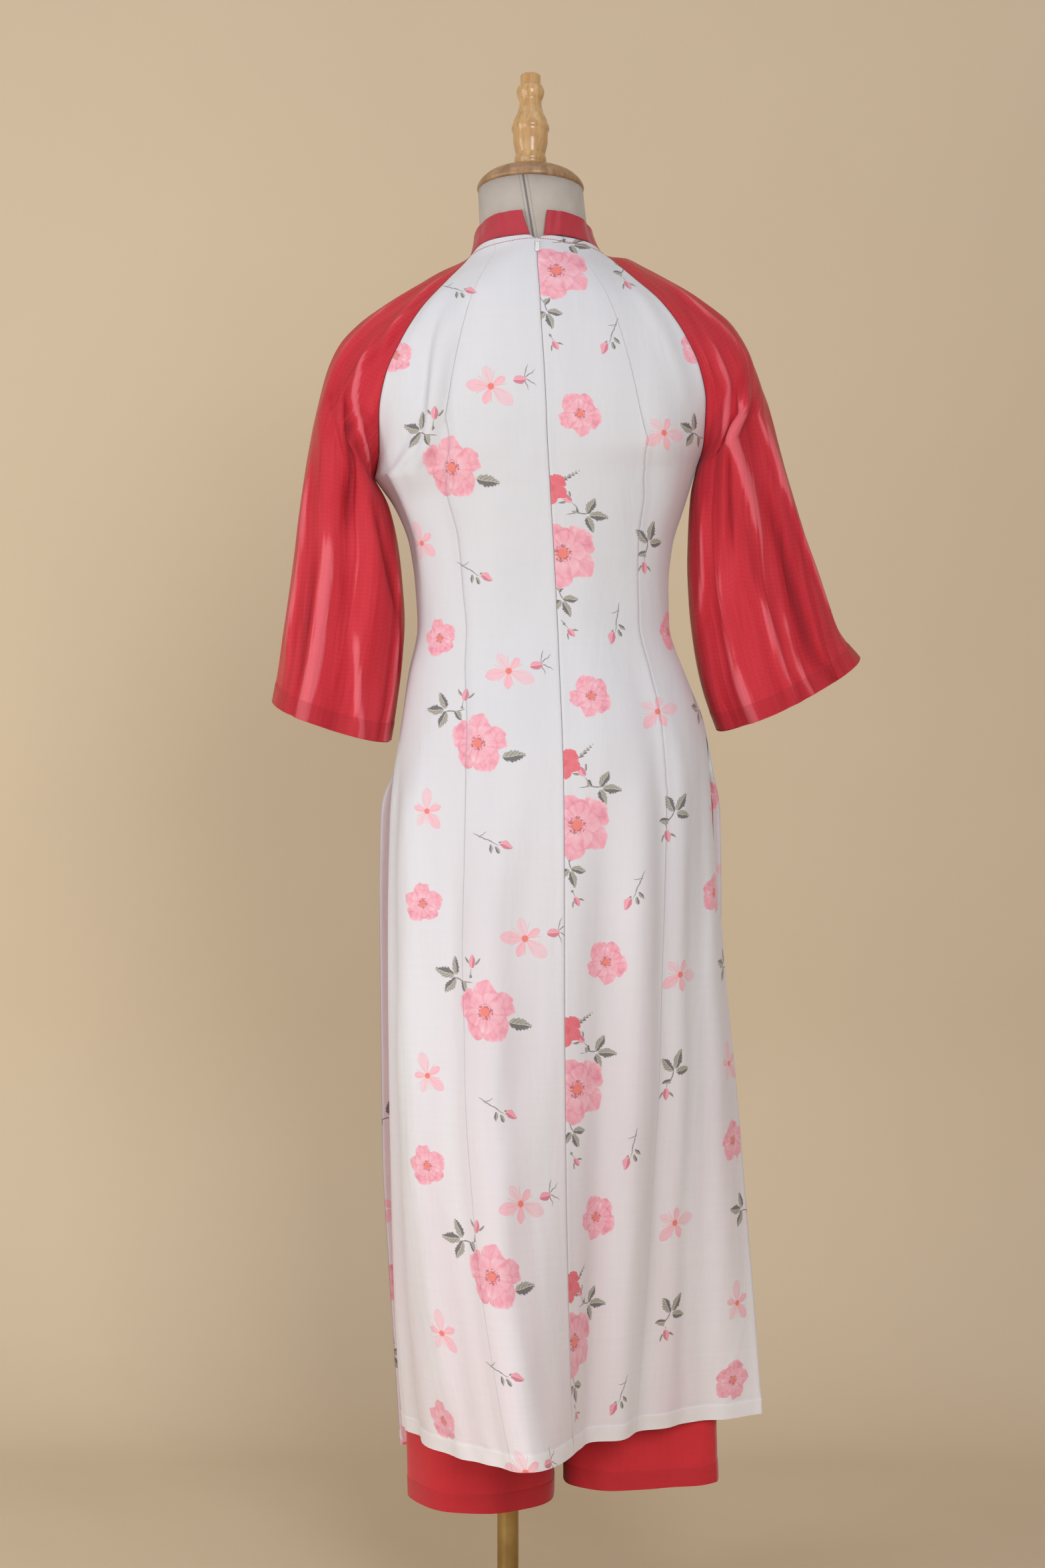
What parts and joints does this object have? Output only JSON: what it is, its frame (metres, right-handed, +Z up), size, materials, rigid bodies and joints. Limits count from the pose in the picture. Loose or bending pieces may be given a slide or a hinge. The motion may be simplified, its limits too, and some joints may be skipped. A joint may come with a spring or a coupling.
{
  "type": "ao dai on a dress form",
  "caption": "Long tunic with raglan sleeves, stand collar and side slits, over wide trousers, worn by a limbless dress form on a pole stand.",
  "frame": {"origin": "on the floor, at the centre of the base plate's underside, on the pole's axis", "axes": "+Z up; the garment's back faces -Y and its front faces +Y; the wearer's right-hand side is at +X"},
  "size_m": [0.6209, 0.4128, 1.6515],
  "materials": {
    "printed_white": "soft white voile with a printed spray of pink flowers and grey leaves",
    "red_organza": "shiny red organza, slightly see-through",
    "red_crepe": "matt red crepe",
    "collar_red": "red satin on a stiff band",
    "linen": "grey-beige cloth stretched over the form",
    "beech": "turned wood, satin varnish",
    "brass": "polished brass colour",
    "base_steel": "black satin paint",
    "zip_metal": "bright nickel"
  },
  "bodies": {
    "garment_on_form": {"form_torso": "linen", "neck_cap": "beech", "neck_knob": "beech", "pole": "brass", "base_plate": "base_steel", "trouser_back_left": "red_crepe", "trouser_back_right": "red_crepe", "trouser_front_left": "red_crepe", "trouser_front_right": "red_crepe", "trouser_waistband": "red_crepe", "tunic_front": "printed_white", "tunic_back_left": "printed_white", "tunic_back_right": "printed_white", "sleeve_back_left": "red_organza", "sleeve_front_left": "red_organza", "sleeve_back_right": "red_organza", "sleeve_front_right": "red_organza", "collar": "collar_red", "zip_slider": "zip_metal"},
    "pull": {"zip_pull": "zip_metal"}
  },
  "joints": [
    {"name": "pull_swing", "type": "hinge", "parent": "garment_on_form", "child": "pull", "pos_m": [0.0305, -0.06665, 1.4586], "axis": [-1, 0, 0], "range_deg": [0, 150]}
  ]
}
